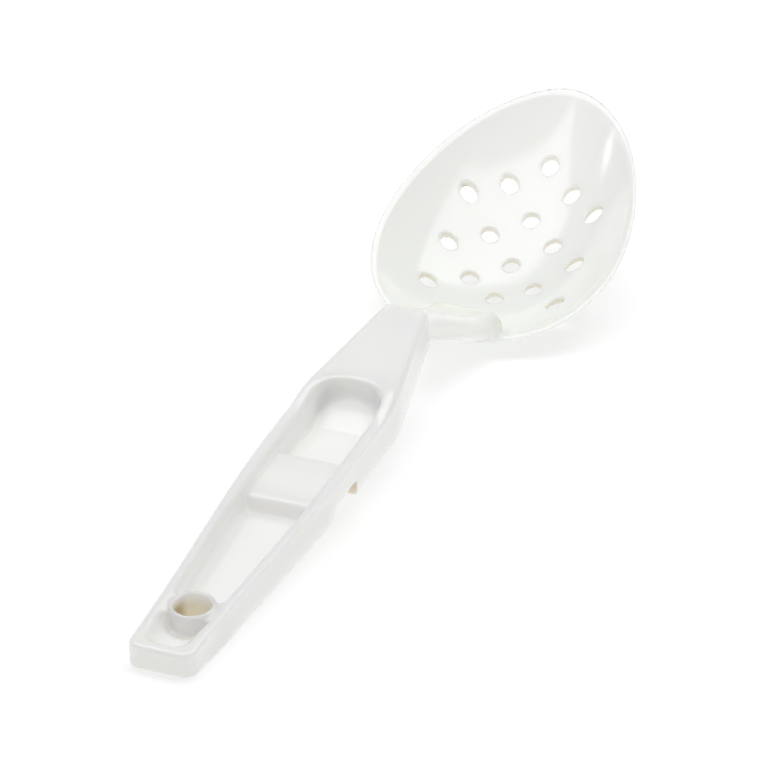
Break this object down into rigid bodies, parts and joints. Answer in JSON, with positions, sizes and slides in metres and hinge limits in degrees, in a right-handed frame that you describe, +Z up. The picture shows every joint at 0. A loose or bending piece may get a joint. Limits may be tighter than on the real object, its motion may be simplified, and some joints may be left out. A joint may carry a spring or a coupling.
{
  "type": "perforated serving spoon",
  "caption": "White plastic serving spoon with a perforated oval bowl, a raised trough-shaped handle with a notch that hooks on a pan, and a hanging hole.",
  "frame": {"origin": "middle of the footprint on the table, with the spoon lying on its tail and the bowl's underside", "axes": "+Y from the handle's tail towards the bowl's tip, +Z up with the bowl's hollow above, +X to the right of someone looking from the tail to the tip; the spoon is symmetric in X"},
  "size_m": [0.0628, 0.2522, 0.0393],
  "materials": {
    "clear_white_bowl": "glossy, faintly see-through white",
    "white_handle": "glossy, milky white"
  },
  "bodies": {
    "root": {"bowl": "clear_white_bowl", "neck": "white_handle", "thumb_pad": "white_handle", "trough_end_wall": "white_handle", "handle_wall_left": "white_handle", "handle_wall_right": "white_handle", "tail_end_wall": "white_handle", "rear_trough_floor": "white_handle", "notch_saddle": "white_handle", "notch_foot": "white_handle", "front_trough_floor": "white_handle", "hanging_hole_boss": "white_handle"}
  },
  "joints": []
}
